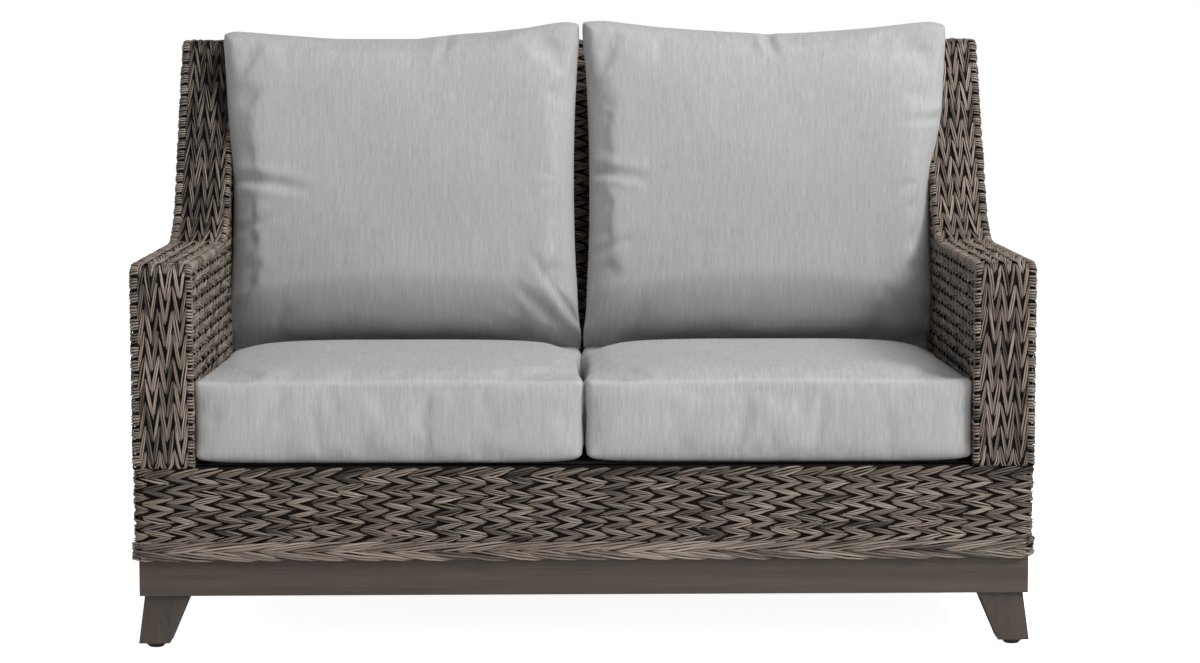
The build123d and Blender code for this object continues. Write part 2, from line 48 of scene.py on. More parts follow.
# The loveseat's main sizes, in metres. Its front faces -Y.
form = {
    "front": -0.447,
    "side": 0.722,
    "inner": 0.631,
    "foot": 0.146,
    "braidTop": 0.173,
    "borderFoot": 0.2795,
    "railTop": 0.2935,
    "arm": 0.619,
    "wingStart": 0.103,
    "wingTop": 0.295,
    "top": 0.972,
    "rearFoot": 0.3652,
    "rearTop": 0.452,
    "backSeat": 0.25,
    "backSeatHeight": 0.433,
    "recline": math.radians(11),
    "armRound": 0.022,
    "wingRound": 0.13,
    "topRound": 0.018,
    "beltRound": 0.010,
    "panelFoot": 0.300,
    "panelRound": 0.010,
}


# One output of a shader node. Arithmetic on it adds Math nodes.
class Wire:
    def __init__(self, graph, socket):
        self.graph = graph
        self.socket = socket

    def maths(self, operation, *values):
        node = self.graph.add("ShaderNodeMath", {"operation": operation}, dict(enumerate(values)))
        return Wire(self.graph, node.outputs[0])

    def __add__(self, other):
        return self.maths("ADD", self, other)

    def __sub__(self, other):
        return self.maths("SUBTRACT", self, other)

    def __rsub__(self, other):
        return self.maths("SUBTRACT", other, self)

    def __mul__(self, other):
        return self.maths("MULTIPLY", self, other)

    __radd__ = __add__

    def sine(self):
        return self.maths("SINE", self)

    # 0 below low, 1 above high, even in between
    def between(self, low, high):
        node = self.graph.add("ShaderNodeMapRange", {}, {0: self, 1: low, 2: high})
        return Wire(self.graph, node.outputs[0])


# A new material, or a world, and its nodes
class Graph:
    def __init__(self, name, blocks=bpy.data.materials):
        self.owner = blocks.new(name)
        self.owner.use_nodes = True
        self.tree = self.owner.node_tree
        self.tree.nodes.clear()

    def add(self, kind, settings, inputs):
        node = self.tree.nodes.new(kind)
        for key, value in settings.items():
            setattr(node, key, value)
        for key, value in inputs.items():
            if isinstance(value, Wire):
                self.tree.links.new(value.socket, node.inputs[key])
            else:
                node.inputs[key].default_value = value
        return node

    def wire(self, kind, settings, inputs, output=0):
        return Wire(self, self.add(kind, settings, inputs).outputs[output])

    def objectPlace(self):
        return self.wire("ShaderNodeTexCoord", {}, {}, "Object")

    def uvPlace(self, name):
        return self.wire("ShaderNodeUVMap", {"uv_map": name}, {})

    def value(self, name):
        return self.wire("ShaderNodeAttribute", {"attribute_name": name}, {}, "Fac")

    def noise(self, place, stretch, detail=2.0, roughness=0.5):
        moved = self.wire("ShaderNodeMapping", {}, {"Vector": place, "Scale": stretch})
        inputs = {"Vector": moved, "Scale": 1.0, "Detail": detail, "Roughness": roughness}
        return self.wire("ShaderNodeTexNoise", {}, inputs)

    def blend(self, share, first, second):
        inputs = {0: share, 6: first, 7: second}
        return self.wire("ShaderNodeMix", {"data_type": "RGBA"}, inputs, 2)

    def shade(self, colour, share):
        grey = self.wire("ShaderNodeCombineColor", {}, {0: share, 1: share, 2: share})
        inputs = {0: 1.0, 6: colour, 7: grey}
        return self.wire("ShaderNodeMix", {"data_type": "RGBA", "blend_type": "MULTIPLY"}, inputs, 2)

    def bump(self, height, strength, distance):
        inputs = {"Height": height, "Strength": strength, "Distance": distance}
        return self.wire("ShaderNodeBump", {}, inputs)

    def finish(self, inputs):
        shader = self.wire("ShaderNodeBsdfPrincipled", {}, inputs)
        self.add("ShaderNodeOutputMaterial", {}, {0: shader})
        return self.owner


def rgb(red, green, blue):
    return (red, green, blue, 1.0)


# Woven resin strand: a tone for each strand, fine streaks along it, and painted shade on each strand's
# underside and at its ends
wicker = {
    "dark": rgb(0.048, 0.037, 0.029),
    "light": rgb(0.42, 0.34, 0.278),
    "brown": rgb(0.17, 0.133, 0.098),
    "paintedShade": 0.92,
    "roughness": 0.40,
    "streaks": (18, 900, 1),
    "patches": (3, 2, 1),
    "bumpDepth": 0.0006,
}


def wickerMaterial(name):
    graph = Graph(name)
    place = graph.uvPlace("strand")
    streak = graph.noise(place, wicker["streaks"], 3.0)
    patch = graph.noise(place, wicker["patches"], 1.0)
    tone = graph.value("tone") + (streak - 0.5) * 0.5
    colour = graph.blend(tone.between(0.0, 1.0), wicker["dark"], wicker["light"])
    colour = graph.blend(patch.between(0.5, 0.72) * 0.45, colour, wicker["brown"])
    # Painted shade: the colour darkens on each strand's underside and where it tucks under at its ends
    paintedShade = graph.value("paintedShade").between(0.1, 0.9)
    colour = graph.shade(colour, 1 - paintedShade * wicker["paintedShade"])
    return graph.finish(
        {
            "Base Color": colour,
            "Roughness": wicker["roughness"] + (streak - 0.5) * 0.25,
            "Specular IOR Level": 0.42,
            "Normal": graph.bump(streak, 0.4, wicker["bumpDepth"]),
        }
    )


# Painted shade: a near-black surface inside the weave, standing in for the shadowed hollow seen through its
# gaps
def paintedShadeBackingMaterial():
    graph = Graph("weave_painted_shade_backing")
    place = graph.objectPlace()
    ribs = graph.noise(place, (60, 60, 420), 2.0)
    colour = graph.blend(ribs, rgb(0.002, 0.0015, 0.0012), rgb(0.012, 0.009, 0.007))
    return graph.finish(
        {
            "Base Color": colour,
            "Roughness": 0.8 + (ribs - 0.5) * 0.2,
            "Specular IOR Level": 0.15,
            "Normal": graph.bump(ribs, 0.5, 0.002),
        }
    )


# Heathered outdoor canvas: fine slubs that run up the cushion, and a plain weave
fabric = {
    "dark": rgb(0.30, 0.298, 0.299),
    "light": rgb(0.555, 0.553, 0.553),
    "fineSlubs": (620, 38, 1),
    "slubs": (150, 11, 1),
    "specks": (900, 900, 1),
    "patches": (7, 5, 1),
    "yarns": 1150,
    "seamShade": 0.35,
    "bumpDepth": 0.0006,
}


def fabricMaterial():
    graph = Graph("cushion_fabric")
    place = graph.uvPlace("cloth")
    fine = graph.noise(place, fabric["fineSlubs"], 3.0, 0.6)
    slub = graph.noise(place, fabric["slubs"], 2.0)
    speck = graph.noise(place, fabric["specks"], 1.0)
    patch = graph.noise(place, fabric["patches"], 2.0)
    tone = 0.5 + (fine - 0.5) * 1.15 + (slub - 0.5) * 0.5 + (speck - 0.5) * 0.5 + (patch - 0.5) * 0.25
    colour = graph.blend(tone.between(0.0, 1.0), fabric["dark"], fabric["light"])
    # Along seams: a painted highlight on the seat cushions' seam edges, and a darker line along the
    # pillows' seam
    colour = graph.shade(colour, 1 - graph.value("seam") * fabric["seamShade"])
    split = graph.add("ShaderNodeSeparateXYZ", {}, {0: place})
    warp = (Wire(graph, split.outputs[0]) * (fabric["yarns"] * math.pi)).sine()
    weft = (Wire(graph, split.outputs[1]) * (fabric["yarns"] * math.pi)).sine()
    height = warp * weft * 0.5 + fine
    return graph.finish(
        {
            "Base Color": colour,
            "Roughness": 0.86 + (fine - 0.5) * 0.1,
            "Specular IOR Level": 0.2,
            "Sheen Weight": 0.12,
            "Sheen Roughness": 0.5,
            "Normal": graph.bump(height, 0.22, fabric["bumpDepth"]),
        }
    )


# Dark brushed wood-look coating, its streaks along the piece
coating = {
    "dark": rgb(0.034, 0.025, 0.019),
    "light": rgb(0.098, 0.073, 0.057),
    "legs": rgb(0.078, 0.059, 0.047),
}


def coatingMaterial(name, stretch, light):
    graph = Graph(name)
    place = graph.objectPlace()
    streak = graph.noise(place, stretch, 5.0, 0.62)
    broad = graph.noise(place, tuple(number * 0.16 for number in stretch), 3.0)
    tone = streak * 0.75 + broad * 0.5 - 0.12
    colour = graph.blend(tone.between(0.2, 0.85), coating["dark"], light)
    return graph.finish(
        {
            "Base Color": colour,
            "Roughness": 0.42 + streak * 0.2,
            "Specular IOR Level": 0.45,
            "Normal": graph.bump(streak, 0.35, 0.0007),
        }
    )


# A plain coloured surface with a fine grain of its own
def grainMaterial(name, low, high, stretch, roughness, metallic=0.0, depth=0.0004):
    graph = Graph(name)
    grain = graph.noise(graph.objectPlace(), stretch, 4.0, 0.6)
    return graph.finish(
        {
            "Base Color": graph.blend(grain, low, high),
            "Metallic": metallic,
            "Roughness": roughness + (grain - 0.5) * 0.2,
            "Normal": graph.bump(grain, 0.4, depth),
        }
    )


wickerFinish = wickerMaterial("woven_resin")
paintedShadeBacking = paintedShadeBackingMaterial()
cloth = fabricMaterial()
apronFinish = coatingMaterial("wood_look_apron", (9, 160, 420), coating["light"])
sideFinish = coatingMaterial("wood_look_side", (160, 9, 420), coating["light"])
legFinish = coatingMaterial("wood_look_leg", (260, 260, 12), coating["legs"])
slotFinish = {
    "dark_wood_finish": apronFinish,
    "glide_plastic": grainMaterial(
        "glide_plastic", rgb(0.008, 0.007, 0.007), rgb(0.02, 0.018, 0.017), (700, 700, 700), 0.5
    ),
    "woven_resin": paintedShadeBacking,
    "cushion_fabric": cloth,
    "cushion_foam": grainMaterial(
        "cushion_foam", rgb(0.62, 0.6, 0.53), rgb(0.82, 0.8, 0.73), (480, 480, 480), 0.9, 0.0, 0.001
    ),
    "zip_tape": grainMaterial(
        "zip_tape", rgb(0.3, 0.29, 0.28), rgb(0.5, 0.49, 0.48), (900, 120, 900), 0.8
    ),
    "webbing": grainMaterial(
        "webbing", rgb(0.012, 0.011, 0.01), rgb(0.05, 0.045, 0.042), (520, 520, 300), 0.85
    ),
    "bolt_steel": grainMaterial(
        "bolt_steel", rgb(0.42, 0.42, 0.42), rgb(0.6, 0.6, 0.59), (900, 900, 60), 0.35, 1.0
    ),
    "frame_aluminium": grainMaterial(
        "frame_aluminium", rgb(0.022, 0.02, 0.018), rgb(0.045, 0.04, 0.036), (600, 600, 600), 0.5
    ),
}
nodeSlot = {part["node"]: part["material_slot"] for part in frame["record"]["subparts"]}
for name, node in nodes.items():
    node.data.materials.clear()
    node.data.materials.append(slotFinish[nodeSlot[name]])
print("stage: materials made")


# A mesh from arrays of points, quads and triangles, with named values on its points and a map on
# its points or on its faces' corners
def meshFrom(name, points, quads, triangles, values, mapName, mapPlaces):
    mesh = bpy.data.meshes.new(name)
    corners = np.concatenate([quads.ravel(), triangles.ravel()]).astype(np.int32)
    sizes = np.concatenate([np.full(len(quads), 4), np.full(len(triangles), 3)])
    starts = np.concatenate([[0], np.cumsum(sizes)[:-1]]).astype(np.int32)
    mesh.vertices.add(len(points))
    mesh.vertices.foreach_set("co", points.astype(np.float32).ravel())
    mesh.loops.add(len(corners))
    mesh.loops.foreach_set("vertex_index", corners)
    mesh.polygons.add(len(sizes))
    mesh.polygons.foreach_set("loop_start", starts)
    for key, value in values.items():
        layer = mesh.attributes.new(key, "FLOAT", "POINT")
        layer.data.foreach_set("value", value.astype(np.float32).ravel())
    places = mesh.uv_layers.new(name=mapName)
    mapPlaces = mapPlaces if len(mapPlaces) == len(corners) else mapPlaces[corners]
    places.data.foreach_set("uv", mapPlaces.astype(np.float32).ravel())
    mesh.update(calc_edges=True)
    mesh.shade_smooth()
    return mesh


def readPoints(mesh):
    points = np.empty(len(mesh.vertices) * 3, np.float32)
    mesh.vertices.foreach_get("co", points)
    return points.reshape(-1, 3).astype(float)


# A new object in the scene
def linked(name, data):
    thing = bpy.data.objects.new(name, data)
    bpy.context.scene.collection.objects.link(thing)
    return thing


def addPiece(name, mesh, material, body):
    piece = linked(name, mesh)
    mesh.materials.append(material)
    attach(piece, body)
    return piece


# A flat line through corners, each rounded to its radius by an arc of points, then cut into even
# steps, with the normals on its left
arcPoints = 15
lineStep = 0.002


class Line:
    def __init__(self, corners, radii):
        parts = [np.array([corners[0]])]
        for before, corner, after, radius in zip(corners, corners[1:], corners[2:], radii):
            back = np.subtract(before, corner)
            on = np.subtract(after, corner)
            back = back / np.linalg.norm(back)
            on = on / np.linalg.norm(on)
            angle = math.acos(float(back @ on))
            reach = radius / math.tan(angle / 2)
            middle = (back + on) / np.linalg.norm(back + on)
            centre = corner + middle * radius / math.sin(angle / 2)
            turn = math.pi - angle
            share = np.linspace(0, 1, arcPoints)[:, None]
            first = corner + back * reach - centre
            last = corner + on * reach - centre
            arc = np.sin((1 - share) * turn) * first + np.sin(share * turn) * last
            parts.append(centre + arc / math.sin(turn))
        parts.append(np.array([corners[-1]]))
        points = np.concatenate(parts)
        run = np.concatenate([[0], np.cumsum(np.linalg.norm(np.diff(points, axis=0), axis=1))])
        self.length = float(run[-1])
        self.run = np.linspace(0, self.length, int(self.length / lineStep))
        self.points = np.stack([np.interp(self.run, run, points[:, k]) for k in (0, 1)], 1)
        along = np.gradient(self.points, axis=0)
        along /= np.linalg.norm(along, axis=1, keepdims=True)
        self.normals = np.stack([-along[:, 1], along[:, 0]], 1)

    # Places and normals at the running lengths; past its ends the line runs straight on
    def at(self, run):
        place = [np.interp(run, self.run, self.points[:, k]) for k in (0, 1)]
        normal = [np.interp(run, self.run, self.normals[:, k]) for k in (0, 1)]
        over = run - np.clip(run, 0, self.length)
        return (
            place[0] + over * normal[1],
            place[1] - over * normal[0],
            normal[0],
            normal[1],
        )


# Along a strand: the places of its rings, how far its bundle opens, its lift and its thickness
ringAt = np.array([0.0, 0.13, 0.34, 0.62, 0.86, 1.0])
ringOpen = np.array([0.36, 0.74, 1.0, 0.96, 0.6, 0.24])
ringLift = np.array([-1.0, 0.3, 1.0, 1.0, 0.3, -1.0])
ringThick = np.array([0.6, 0.9, 1.0, 1.0, 0.84, 0.45])


# Faces of count closed strands of rings, each ring with sides points
def strandFaces(count, rings, sides, flip):
    ring, side = np.meshgrid(np.arange(rings - 1), np.arange(sides), indexing="ij")
    first = ring * sides + side
    second = ring * sides + (side + 1) % sides
    quads = np.stack([first, second, second + sides, first + sides], -1).reshape(-1, 4)
    fan = np.arange(1, sides - 1)
    head = np.stack([np.zeros_like(fan), fan + 1, fan], 1)
    tail = head[:, ::-1] + (rings - 1) * sides
    triangles = np.concatenate([head, tail])
    if flip:
        quads = quads[:, ::-1]
        triangles = triangles[:, ::-1]
    step = (np.arange(count) * rings * sides)[:, None, None]
    return (quads[None] + step).reshape(-1, 4), (triangles[None] + step).reshape(-1, 3)


# A piece of strands, with a tone and an amount of painted shade at each point
def strandPiece(name, points, faces, tones, paintedShade, mapPlaces):
    values = {"tone": tones, "paintedShade": paintedShade}
    mapPlaces = mapPlaces.reshape(-1, 2)
    mesh = meshFrom(name, points.reshape(-1, 3), *faces, values, "strand", mapPlaces)
    addPiece(name, mesh, wickerFinish, "frame")


# How much the bundles and their strands differ, as shares of a size or in metres
waver = {
    "length": 0.04,
    "slant": 0.07,
    "spacing": 0.08,
    "lift": 0.13,
    "along": 0.0010,
    "across": 0.0003,
    "tone": 0.19,
    "strandRadius": 0.07,
    "strandAlong": 0.0020,
    "strandAcross": 0.00025,
    "strandBow": 0.0004,
    "strandLift": 0.00035,
    "strandTone": 0.2,
}


# Rows of slanted bundles of strands on a surface(along, across), each row leaning against the
# last. A strand climbs over its own row and the next one, rises out of the row below and dives
# under the row above, and is a closed tube of a few rings.
def weave(name, surface, rows, lows, highs, shape, lean=1, tone=0.5, paintedLight=None):
    pitch, length, radius = shape["pitch"], shape["length"], shape["radius"]
    starts, middles, leans = [], [], []
    for index, row in enumerate(rows):
        low, high = float(lows(row)), float(highs(row))
        first = math.floor((low - length) / pitch)
        start = np.arange(first, math.ceil(high / pitch) + 1) * pitch
        start = start[(start + 0.7 * length > low) & (start + 0.3 * length < high)]
        starts.append(start)
        middles.append(np.full(len(start), row))
        leans.append(np.full(len(start), lean if index % 2 == 0 else -lean))
    start = np.concatenate(starts)
    middle = np.concatenate(middles)
    count, strands, sides = len(start), shape["strands"], shape["sides"]

    # Axes: bundle, strand, ring, side
    def bundles(values):
        return values[:, None, None, None]

    def vary(key):
        return bundles(waver[key] * np.clip(random.normal(0, 1, count), -2.5, 2.5))

    def varyStrand(key):
        drawn = np.clip(random.normal(0, 1, (count, strands)), -2, 2)
        return (waver[key] * drawn)[:, :, None, None]

    t = ringAt[None, None, :, None]
    opened = ringOpen[None, None, :, None]
    thick = ringThick[None, None, :, None]
    angle = (np.arange(sides) / sides * 2 * math.pi)[None, None, None, :]
    lane = (np.arange(strands) - (strands - 1) / 2)[None, :, None, None]
    lean = bundles(np.concatenate(leans))
    runs = length * (1 + vary("length"))
    slant = shape["row"] * shape["spread"] * (1 + vary("slant"))
    climb = (0.6 * t + 0.4 * (0.5 - 0.5 * np.cos(math.pi * t)) - 0.5) * slant
    spacing = shape["spacing"] * (1 + vary("spacing"))
    offset = lane * spacing * opened + varyStrand("strandAcross")
    bow = varyStrand("strandBow") * np.sin(math.pi * t)
    around = radius * thick * (1 + varyStrand("strandRadius"))
    reach = 1 - shape["point"] * np.abs(lane)
    along = bundles(start) + vary("along") + (0.5 + (t - 0.5) * reach) * runs
    along = along + varyStrand("strandAlong")
    along = along - lean * offset * shape["row"] / length * 1.5
    across = bundles(middle) + vary("across") + lean * climb + offset + bow
    across = across + around * np.sin(angle)
    roll = shape["roll"] * lane * lean * (t - 0.5)
    height = shape["lift"] * ringLift[None, None, :, None] * (1 + vary("lift")) + roll
    height = height + varyStrand("strandLift") - shape["sink"] * lane * lane + around * np.cos(angle)
    along = along + 0 * across
    along = np.clip(along, lows(across), highs(across))
    place, normal = surface(along, across)
    points = place + normal * height[..., None]

    tones = tone + vary("tone") + varyStrand("strandTone") + 0 * t * angle
    # Painted shade, darkest on the underside of each strand and where the bundle closes at its ends
    paintedShade = (0.5 - 0.5 * np.cos(angle)) ** 0.65 + 0.5 * (1 - opened) ** 1.5
    paintedShade = np.broadcast_to(np.clip(paintedShade, 0, 1), points.shape[:4])
    patch = random.uniform(0, 30, (count, strands))[:, :, None, None]
    mapPlaces = np.stack([along + patch, patch + radius * angle + 0 * along], -1)
    here, outward = surface(start[:1], middle[:1])
    ahead = surface(start[:1] + 0.001, middle[:1])[0] - here
    beside = surface(start[:1], middle[:1] + 0.001)[0] - here
    flip = float(np.sum(np.cross(ahead, beside) * outward)) > 0
    faces = strandFaces(count * strands, len(ringAt), sides, flip)
    # Painted light along the run: lighter arm tops, and a darker left wing on the left arm
    if paintedLight:
        tones = tones - paintedLight(along)
    strandPiece(name, points, faces, tones, paintedShade, mapPlaces)


# A row's end that is the same on every row
def always(value):
    return lambda across: np.full(np.shape(across), value)


# Coordinates side by side, spread to one common form
def stack(*parts):
    parts = np.broadcast_arrays(*parts)
    return np.stack(parts, -1)


# The weave's strand bundles on level rows, on the arms' upright columns and in the foot's plait
rowShape = {
    "pitch": 0.0388,
    "length": 0.059,
    "row": 0.01066,
    "spread": 0.86,
    "strands": 3,
    "sides": 5,
    "radius": 0.00138,
    "spacing": 0.0028,
    "point": 0.16,
    "lift": 0.0034,
    "roll": 0.0016,
    "sink": 0.0004,
}
plainShape = dict(rowShape, sides=4)
borderShape = dict(rowShape, length=0.064, row=0.0138, radius=0.0019, spacing=0.0037)
columnShape = dict(
    rowShape, pitch=0.0381, length=0.074, strands=2, radius=0.00165, spacing=0.0031, lift=0.0032
)
braidShape = dict(
    rowShape, pitch=0.0525, length=0.112, row=0.0138, spread=0.9, radius=0.0021, spacing=0.0042, lift=0.0030
)

# Where strands end: short of an edge, short of the back's panel, and a plait past the corners
endGap = 0.004
panelGap = 0.002
braidOver = 0.003

# The side seen along X: up the arm's front, along its top, up the wing and down the rear
profile = Line(
    [
        (form["front"], form["railTop"]),
        (form["front"], form["arm"]),
        (form["wingStart"], form["arm"]),
        (form["wingTop"], form["top"]),
        (form["rearTop"], form["top"]),
        (form["rearFoot"], form["foot"]),
    ],
    (form["armRound"], form["wingRound"], form["topRound"], form["topRound"]),
)
# The wing's slope runs from midway along the arm to just short of the top, and the columns end a
# little past the rearmost place
armMiddle = -0.1
nearTop = 0.0008
bandOver = 0.006
slopeEnd = int(np.argmax(profile.points[:, 1] > form["top"] - nearTop))
slopeStart = int(np.argmax(profile.points[:, 0] > armMiddle))
bandEnd = float(profile.run[int(np.argmax(profile.points[:, 0]))]) + bandOver


# Depth at a height of the profile's front edge, of the rear face and of the back's inner face
def frontEdge(height):
    slope = profile.points[slopeStart:slopeEnd]
    wing = np.interp(height, slope[:, 1], slope[:, 0])
    return np.where(np.asarray(height) < form["arm"] - endGap, form["front"], wing)


def rearEdge(height):
    lean = (form["rearTop"] - form["rearFoot"]) / (form["top"] - form["foot"])
    return form["rearFoot"] + (np.asarray(height) - form["foot"]) * lean


def panelEdge(height):
    return form["backSeat"] + (np.asarray(height) - form["backSeatHeight"]) * math.tan(form["recline"])


# Painted-shade surface inside the weave, near-black in place of the shadowed hollow: the skin's own form,
# its raised courses laid flat and its corners drawn in, so that the strands bend round them
inside = {"drawnIn": 0.0045, "near": 0.003, "merge": 0.00002}


def insideCopy(node):
    mesh = nodes[node].data.copy()
    points = readPoints(mesh)
    points[:, 0] = np.clip(points[:, 0], -form["side"], form["side"])
    points[:, 1] = np.clip(points[:, 1], form["front"], rearEdge(points[:, 2]))
    near = inside["near"]
    outer = np.abs(points[:, 0]) > form["side"] - near
    front = outer & (points[:, 1] < form["front"] + near) & (points[:, 2] < form["railTop"] + near)
    rear = outer & (points[:, 1] > rearEdge(points[:, 2]) - near)
    points[front | rear, 0] -= inside["drawnIn"] * np.sign(points[front | rear, 0])
    points[front, 1] += inside["drawnIn"]
    points[rear, 1] -= inside["drawnIn"]
    mesh.vertices.foreach_set("co", points.astype(np.float32).ravel())
    work = bmesh.new()
    work.from_mesh(mesh)
    bmesh.ops.remove_doubles(work, verts=work.verts, dist=inside["merge"])
    bmesh.ops.dissolve_degenerate(work, edges=work.edges, dist=inside["merge"])
    work.to_mesh(mesh)
    work.free()
    mesh.materials.clear()
    piece = addPiece(f"{node}_inside", mesh, paintedShadeBacking, "frame")
    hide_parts(node)


skins = ("weave_front", "weave_side_left", "weave_side_right", "weave_back_outer")
for node in (*skins, "braid_front", "braid_back", "braid_left", "braid_right"):
    insideCopy(node)


# Belt round the foot of the seat: rows along the sides and the front, round soft corners
belt = Line(
    [
        (-form["side"], form["rearFoot"]),
        (-form["side"], form["front"]),
        (form["side"], form["front"]),
        (form["side"], form["rearFoot"]),
    ],
    (form["beltRound"], form["beltRound"]),
)
beltRowCount = 10
beltRows = form["borderFoot"] - (np.arange(beltRowCount) + 0.5) * rowShape["row"]
proud = {"rail": 0.0004, "border": 0.0005, "braid": 0.0035}


# The belt's outer face, standing out by its own amount
def beltSurface(out):
    def surface(along, height):
        x, y, normalX, normalY = belt.at(along)
        x = x - normalX * out
        y = y - normalY * out
        return stack(x, y, height), stack(-normalX, -normalY, 0 * x)

    return surface


ends = (always(endGap), always(belt.length - endGap))
weave("weave_rail", beltSurface(proud["rail"]), beltRows, *ends, rowShape, lean=-1)
borderRow = [form["borderFoot"] + borderShape["row"] / 2]
# The border's darker tone is partly its own strand and partly painted shade from the seat cushion's edge
# above it
weave("weave_border", beltSurface(proud["border"]), borderRow, *ends, borderShape, tone=0.24)
braidSteps = np.array([0.5, 1.5]) * braidShape["row"]
braidRows = form["braidTop"] - braidSteps
ends = (always(-braidOver), always(belt.length + braidOver))
weave("braid_belt", beltSurface(proud["braid"]), braidRows, *ends, braidShape, tone=0.55)


# Columns up the arm's front, along its top and up the wing
def bandSurface(along, across):
    y, z, normalY, normalZ = profile.at(along)
    return stack(across, y, z), stack(0 * y, normalY, normalZ)


# Painted light on the strands: the arms' tops are lightened as if top light falls on them, and the wing on
# the left is darkened as painted shadow from the left pillow
paintedLightSizes = {
    "top": 0.2,
    "topStart": 0.335,
    "topFade": 0.02,
    "topEnd": 0.2,
    "endFade": 0.05,
    "wing": 0.42,
    "wingStart": 0.18,
    "wingFade": 0.08,
}
wingFoot = float(profile.run[slopeStart])


def paintedTopLight(along):
    onTop = np.clip((along - paintedLightSizes["topStart"]) / paintedLightSizes["topFade"], 0, 1)
    before = np.clip((wingFoot + paintedLightSizes["topEnd"] - along) / paintedLightSizes["endFade"], 0, 1)
    return -paintedLightSizes["top"] * onTop * before


# Painted shadow on the left wing, added to the arm top's painted light
def paintedTopLightWingShadow(along):
    onWing = np.clip((along - wingFoot - paintedLightSizes["wingStart"]) / paintedLightSizes["wingFade"], 0, 1)
    return paintedTopLight(along) + paintedLightSizes["wing"] * onWing


# A side's flat outer or inner face, and where its rows start and end
def flatSurface(place, facing):
    def surface(along, height):
        return stack(place, along, height), stack(facing, 0 * along, 0 * height)

    return surface


def rowStart(height):
    return frontEdge(height) + endGap


def outerEnd(height):
    return rearEdge(height) - endGap


def innerEnd(height):
    return panelEdge(height) - panelGap


# Columns between the wrapped edges of the band, and rows above the rail
wrapInside = 0.0040
wrapOutside = 0.0085
columnCount = 7
columnStart = 0.001
firstRow = 0.0056
lastRow = 0.006
sideRows = np.arange(form["railTop"] + firstRow, form["top"] - lastRow, rowShape["row"])
columnRoom = form["side"] - form["inner"] - wrapInside - wrapOutside
columnShape["row"] = columnRoom / columnCount
for side, label in ((-1, "left"), (1, "right")):
    columns = side * (form["inner"] + wrapInside + (np.arange(columnCount) + 0.5) * columnShape["row"])
    columns = columns if side < 0 else columns[::-1]
    weave(
        f"weave_arm_{label}",
        bandSurface,
        columns,
        always(columnStart),
        always(bandEnd),
        columnShape,
        paintedLight=paintedTopLightWingShadow if side < 0 else paintedTopLight,
    )
    outer = flatSurface(side * form["side"], side)
    inner = flatSurface(side * form["inner"], -side)
    weave(f"weave_side_{label}", outer, sideRows, rowStart, outerEnd, plainShape)
    weave(f"weave_inner_{label}", inner, sideRows, rowStart, innerEnd, rowShape)
print("stage: rail, arms and sides woven")

# The back: up its rear face, over the top and down its inner face
backLine = Line(
    [
        (form["rearFoot"], form["foot"]),
        (form["rearTop"], form["top"]),
        (float(panelEdge(form["top"])), form["top"]),
        (float(panelEdge(form["panelFoot"])), form["panelFoot"]),
    ],
    (form["topRound"], form["panelRound"]),
)
rearLength = math.dist((form["rearFoot"], form["foot"]), (form["rearTop"], form["top"]))
topLength = form["rearTop"] - float(panelEdge(form["top"]))


def backSurface(across, along):
    y, z, normalY, normalZ = backLine.at(along)
    return stack(across, y, z), stack(0 * y, -normalY, -normalZ)


# Rows up the rear from above the plait, over the top, and down the inner face
backRows = {"foot": 0.0345, "rearEnd": 0.012, "topStart": 0.002, "topCount": 9, "topOver": 0.008}
rearRows = np.arange(backRows["foot"], rearLength - backRows["rearEnd"], rowShape["row"])
topRows = rearLength - backRows["topStart"] + np.arange(backRows["topCount"]) * rowShape["row"]
panelRows = np.arange(rearLength + topLength + panelGap, backLine.length - endGap, rowShape["row"])


# A wide field of rows in two pieces. The second goes on with the first one's leans.
def weaveHalves(first, second, rows, edge):
    half = len(rows) // 2
    lean = 1 if half % 2 == 0 else -1
    weave(first, backSurface, rows[:half], always(-edge), always(edge), plainShape)
    weave(second, backSurface, rows[half:], always(-edge), always(edge), plainShape, lean)


weaveHalves("weave_rear_lower", "weave_rear_upper", rearRows, form["side"] - endGap)
edge = form["inner"] + backRows["topOver"]
weave("weave_back_top", backSurface, topRows, always(-edge), always(edge), rowShape)
weaveHalves("weave_panel_upper", "weave_panel_lower", panelRows, form["inner"] - panelGap)


def rearBraid(across, along):
    place, normal = backSurface(across, along)
    return place + normal * proud["braid"], normal


edge = form["side"] + braidOver
rearBraidRows = form["braidTop"] - form["foot"] - braidSteps
weave("braid_rear", rearBraid, rearBraidRows, always(-edge), always(edge), braidShape, tone=0.6)
print("stage: back woven")

# Strands that wrap round an edge of the band, in groups with a notch between them. Each reaches
# down the side face and over the band's own face.
wrap = {
    "radius": 0.0019,
    "pitch": 0.0046,
    "group": 4,
    "notch": 0.0034,
    "sides": 6,
    "swell": 0.0016,
    "bunch": 0.2,
    "fan": 0.0016,
    "tone": 0.5,
    "start": 0.002,
    "noseEnd": 0.306,
    "rearGap": 0.03,
    "outerReach": (0.011, 0.0115),
    "noseReach": (0.034, 0.0050),
    "innerReach": (0.010, 0.0080),
}


